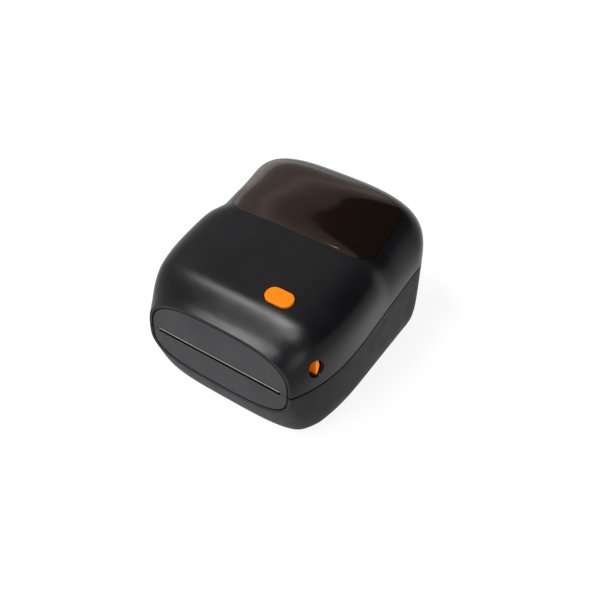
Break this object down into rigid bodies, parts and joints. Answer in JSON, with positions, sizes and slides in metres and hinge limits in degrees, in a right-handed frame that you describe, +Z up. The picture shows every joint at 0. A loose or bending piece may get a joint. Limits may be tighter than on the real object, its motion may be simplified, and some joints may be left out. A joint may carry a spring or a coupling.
{
  "type": "thermal label printer",
  "caption": "Desktop direct thermal label printer with a hinged lid, smoked roll window, front paper slot, feed button, side latches, platen drive and sliding roll holders",
  "frame": {"origin": "centre of the footprint on the table plane, under the rubber feet", "axes": "+Z up, +X to the right seen from the front, -Y the front with the paper slot, +Y the hinge side"},
  "size_m": [0.178, 0.1976, 0.138],
  "materials": {
    "lid_plastic": "satin charcoal ABS moulding, slight gloss",
    "base_plastic": "satin dark grey ABS moulding",
    "panel_plastic": "fine-grained matte grey ABS",
    "frame_plastic": "matte black ABS",
    "window_plastic": "smoked brown translucent polycarbonate, polished",
    "orange_plastic": "satin orange ABS",
    "steel": "zinc plated steel",
    "rubber": "matte black rubber",
    "platen_rubber": "matte dark grey silicone rubber",
    "aluminium": "bare aluminium",
    "ceramic": "glazed alumina strip",
    "gear_plastic": "natural white acetal",
    "bush_plastic": "black acetal",
    "board": "green glass-epoxy board",
    "chip_plastic": "black moulded components"
  },
  "bodies": {
    "base": {"base_shell": "base_plastic", "rubber_feet": "rubber", "print_frame": "frame_plastic", "paper_guide": "frame_plastic", "roll_frame": "frame_plastic", "lower_panel": "panel_plastic", "drive_bracket": "steel", "side_bracket": "steel", "platen_bush_left": "bush_plastic", "platen_bush_right": "bush_plastic", "step_motor": "steel", "idler_stud": "steel", "main_board": "board", "board_chips": "chip_plastic", "board_caps": "aluminium", "io_board": "board", "board_screws": "steel", "usb_socket": "steel", "dc_socket": "chip_plastic", "switch_case": "chip_plastic", "gap_sensor": "chip_plastic", "hinge_pins": "steel", "frame_screws": "steel"},
    "lid": {"lid_shell": "lid_plastic", "lid_tray": "frame_plastic", "lid_window": "window_plastic", "upper_panel": "panel_plastic", "tear_bar": "steel", "button_board": "board", "button_switch": "chip_plastic", "latch_pins": "steel", "latch_spring_right": "steel", "latch_spring_left": "steel", "head_rod": "steel", "head_springs": "steel", "lid_screws": "steel"},
    "button": {"feed_button": "orange_plastic"},
    "latch_r": {"latch_right": "orange_plastic"},
    "latch_l": {"latch_left": "orange_plastic"},
    "printhead": {"head_carrier": "steel", "head_heatsink": "aluminium", "head_ceramic": "ceramic"},
    "platen": {"platen_shaft": "steel", "platen_rubber": "platen_rubber", "platen_gear": "gear_plastic"},
    "idler": {"idler_gear": "gear_plastic"},
    "pinion": {"motor_pinion": "gear_plastic", "motor_shaft": "steel"},
    "holder_r": {"holder_right": "frame_plastic"},
    "holder_l": {"holder_left": "frame_plastic"},
    "guide": {"guide_pinion": "gear_plastic"},
    "rocker": {"power_rocker": "chip_plastic"}
  },
  "joints": [
    {"name": "lid_hinge", "type": "hinge", "parent": "base", "child": "lid", "pos_m": [0, 0.0945, 0.0815], "axis": [-1, 0, 0], "range_deg": [0, 85]},
    {"name": "button_press", "type": "slide", "parent": "lid", "child": "button", "axis": [0, 0.1372, -0.9905], "range_m": [0, 0.0012], "stiffness_N_per_m": 300, "springref_m": -0.002},
    {"name": "latch_right_pull", "type": "hinge", "parent": "lid", "child": "latch_r", "pos_m": [0, -0.071, 0.0635], "axis": [1, 0, 0], "range_deg": [0, 10], "stiffness_Nm_per_rad": 0.2, "springref_deg": -11.46},
    {"name": "latch_left_pull", "type": "hinge", "parent": "lid", "child": "latch_l", "pos_m": [0, -0.071, 0.0635], "axis": [1, 0, 0], "range_deg": [0, 10], "stiffness_Nm_per_rad": 0.2, "springref_deg": -11.46},
    {"name": "head_lift", "type": "hinge", "parent": "lid", "child": "printhead", "pos_m": [0, -0.052, 0.0675], "axis": [-1, 0, 0], "range_deg": [0, 3], "stiffness_Nm_per_rad": 4, "springref_deg": -5.73, "deforming": ["head_springs"]},
    {"name": "platen_spin", "type": "hinge", "parent": "base", "child": "platen", "pos_m": [0, -0.076, 0.0465], "axis": [1, 0, 0], "continuous": true},
    {"name": "idler_spin", "type": "hinge", "parent": "base", "child": "idler", "pos_m": [0, -0.06116, 0.03723], "axis": [1, 0, 0], "continuous": true},
    {"name": "pinion_spin", "type": "hinge", "parent": "base", "child": "pinion", "pos_m": [0, -0.04231, 0.03591], "axis": [1, 0, 0], "continuous": true},
    {"name": "holder_right_slide", "type": "slide", "parent": "base", "child": "holder_r", "axis": [1, 0, 0], "range_m": [-0.036, 0.006]},
    {"name": "holder_left_slide", "type": "slide", "parent": "base", "child": "holder_l", "axis": [1, 0, 0], "range_m": [-0.006, 0.036]},
    {"name": "guide_spin", "type": "hinge", "parent": "base", "child": "guide", "pos_m": [0, 0.031, 0.014], "axis": [0, 0, 1], "range_deg": [-38.2, 229.2]},
    {"name": "rocker_tilt", "type": "hinge", "parent": "base", "child": "rocker", "pos_m": [-0.03, 0.086, 0.0202], "axis": [1, 0, 0], "range_deg": [0, 14]}
  ],
  "couplings": [
    {"joint": "idler_spin", "follows": "platen_spin", "ratio": -1.5},
    {"joint": "pinion_spin", "follows": "platen_spin", "ratio": 3},
    {"joint": "holder_left_slide", "follows": "holder_right_slide", "ratio": -1},
    {"joint": "guide_spin", "follows": "holder_right_slide", "rad_per_m": -111.11}
  ]
}
